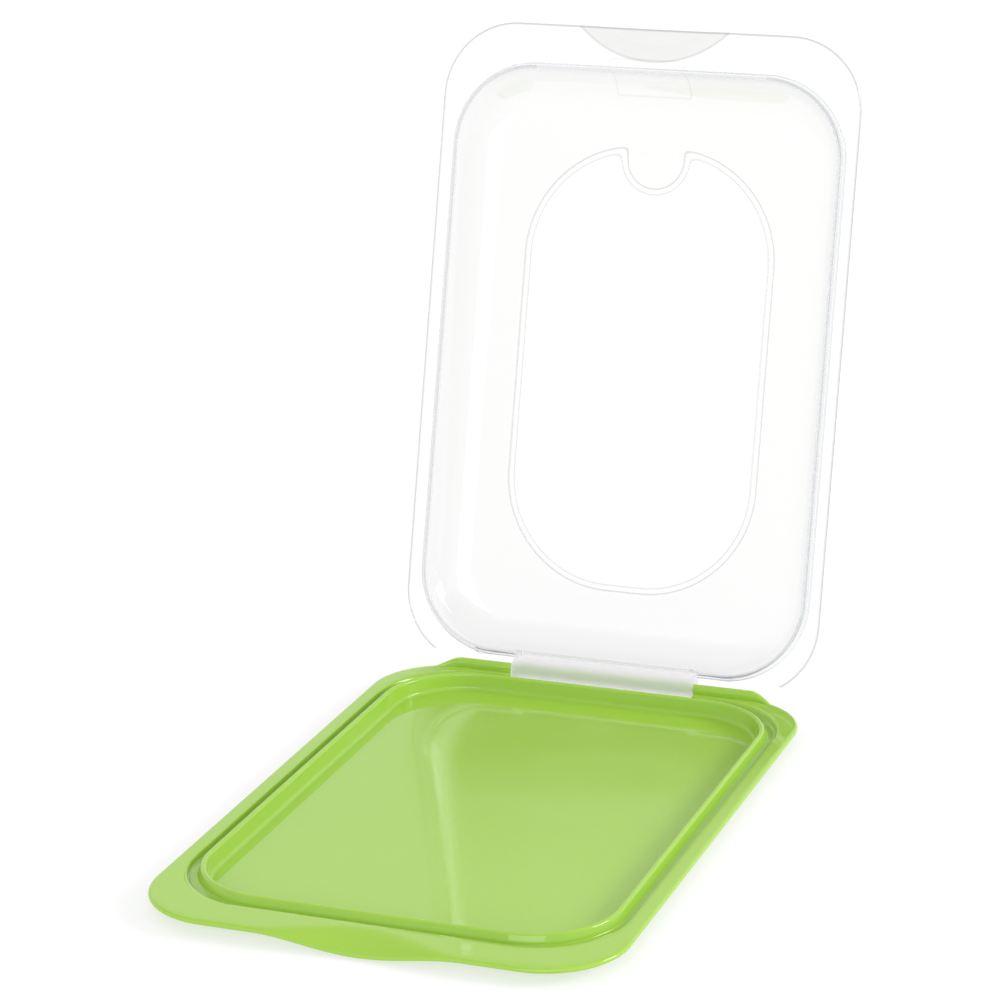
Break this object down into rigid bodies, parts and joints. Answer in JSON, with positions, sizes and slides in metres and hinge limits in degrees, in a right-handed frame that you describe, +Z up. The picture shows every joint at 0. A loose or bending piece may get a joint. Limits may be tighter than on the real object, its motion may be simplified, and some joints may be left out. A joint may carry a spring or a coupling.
{
  "type": "flat food storage box with hinged lid",
  "caption": "Shallow flat storage box for the freezer: a rimmed tray and a clear domed lid that snaps onto a rod at the rear edge and swings closed.",
  "frame": {"origin": "on the foot plane, under the middle of the tray's flange", "axes": "+Z up, +Y from the front edge with the finger tabs to the rear edge with the hinge, +X to the right seen from the front"},
  "size_m": [0.17, 0.3239, 0.2508],
  "materials": {
    "green_plastic": "glossy injection-moulded polypropylene, opaque lime green",
    "clear_plastic": "clear injection-moulded polypropylene, slightly milky where it is thick, as at the hinge clip"
  },
  "bodies": {
    "base": {"tray": "green_plastic"},
    "cover": {"lid": "clear_plastic"}
  },
  "joints": [
    {"name": "lid_hinge", "type": "hinge", "parent": "base", "child": "cover", "pos_m": [0, 0.1257, 0.0074], "axis": [1, 0, 0], "range_deg": [0, 105]}
  ]
}
